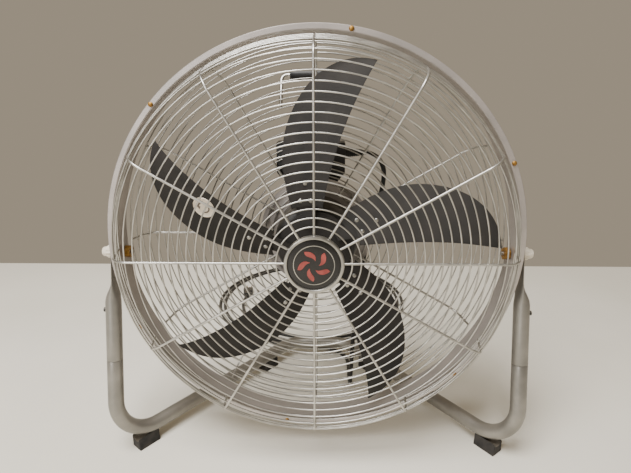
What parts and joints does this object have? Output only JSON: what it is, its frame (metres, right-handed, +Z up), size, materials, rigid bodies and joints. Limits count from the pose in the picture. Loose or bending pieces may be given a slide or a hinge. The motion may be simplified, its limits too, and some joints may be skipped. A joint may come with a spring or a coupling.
{
  "type": "floor fan",
  "caption": "High-velocity floor fan: a drum head with wire guards front and back that tilts in a bent tube stand, with a mains cord and plug.",
  "frame": {"origin": "on the floor, under the middle of the box round the stand and head, cord and plug left out", "axes": "+X to the right seen from the front, +Y from the front guard to the back, +Z up"},
  "size_m": [0.6068, 0.8226, 0.595],
  "materials": {
    "painted_tube": "satin grey paint on bent steel tube",
    "painted_sheet": "silver grey paint on rolled sheet",
    "guard_wire": "dull plated wire",
    "charcoal_paint": "matt charcoal paint on pressed sheet",
    "black_enamel": "semi-gloss black enamel",
    "black_plastic": "moulded black plastic",
    "foot_rubber": "dusty black rubber",
    "cord_rubber": "black flexible cord jacket",
    "bright_steel": "turned and plated steel",
    "zinc_yellow": "yellow zinc plate, tarnished",
    "cream_plastic": "moulded cream plastic"
  },
  "bodies": {
    "stand": {"base_tube": "painted_tube", "left_upright": "painted_tube", "right_upright": "painted_tube", "left_upright_screw": "black_enamel", "right_upright_screw": "black_enamel", "front_left_foot": "foot_rubber", "front_right_foot": "foot_rubber", "rear_left_foot": "foot_rubber", "rear_right_foot": "foot_rubber", "cord_floor": "cord_rubber", "plug_body": "black_plastic", "plug_blade_left": "zinc_yellow", "plug_blade_right": "zinc_yellow", "plug_ground_pin": "zinc_yellow"},
    "head": {"hoop": "painted_sheet", "left_bracket": "painted_sheet", "right_bracket": "painted_sheet", "motor_plate": "painted_sheet", "front_guard": "guard_wire", "rear_guard": "guard_wire", "handle_bow": "guard_wire", "motor_front_shell": "black_enamel", "motor_rear_shell": "black_enamel", "badge_disc": "black_enamel", "switch_box": "black_plastic", "switch_box_lid": "black_plastic", "rotary_switch": "black_plastic", "cord_gland": "black_plastic", "handle_grip": "black_plastic", "cord_drop": "cord_rubber", "badge_ring": "bright_steel", "left_pivot_bolt": "bright_steel", "right_pivot_bolt": "bright_steel", "front_bearing": "bright_steel", "rear_bearing": "bright_steel", "stator": "bright_steel", "capacitor": "bright_steel", "motor_screw_1": "bright_steel", "motor_screw_2": "bright_steel", "motor_screw_3": "bright_steel", "left_pivot_nut": "zinc_yellow", "right_pivot_nut": "zinc_yellow", "rim_screw_1": "zinc_yellow", "rim_screw_2": "zinc_yellow", "rim_screw_3": "zinc_yellow", "rim_screw_4": "zinc_yellow", "rim_screw_5": "zinc_yellow", "rim_screw_6": "zinc_yellow"},
    "rotor": {"shaft": "bright_steel", "rotor_core": "bright_steel", "hub_collar": "bright_steel", "blade_spider": "charcoal_paint", "blade_1": "charcoal_paint", "blade_2": "charcoal_paint", "blade_3": "charcoal_paint", "blade_4": "charcoal_paint", "blade_5": "charcoal_paint"},
    "left_knob": {"left_tilt_knob": "cream_plastic"},
    "right_knob": {"right_tilt_knob": "cream_plastic"},
    "speed_knob": {"speed_knob": "black_plastic"}
  },
  "joints": [
    {"name": "head_tilt", "type": "hinge", "parent": "stand", "child": "head", "pos_m": [0, -0.07721, 0.303], "axis": [1, 0, 0], "range_deg": [-75, 20]},
    {"name": "blade_spin", "type": "hinge", "parent": "head", "child": "rotor", "pos_m": [0, -0.09721, 0.316], "axis": [0, 1, 0], "continuous": true},
    {"name": "left_knob_turn", "type": "hinge", "parent": "stand", "child": "left_knob", "pos_m": [-0.295, -0.07721, 0.303], "axis": [1, 0, 0], "range_deg": [0, 330]},
    {"name": "right_knob_turn", "type": "hinge", "parent": "stand", "child": "right_knob", "pos_m": [0.295, -0.07721, 0.303], "axis": [1, 0, 0], "range_deg": [0, 330]},
    {"name": "speed_turn", "type": "hinge", "parent": "head", "child": "speed_knob", "pos_m": [-0.008, 0.02, 0.426], "axis": [0, 1, 0], "range_deg": [0, 135]}
  ]
}
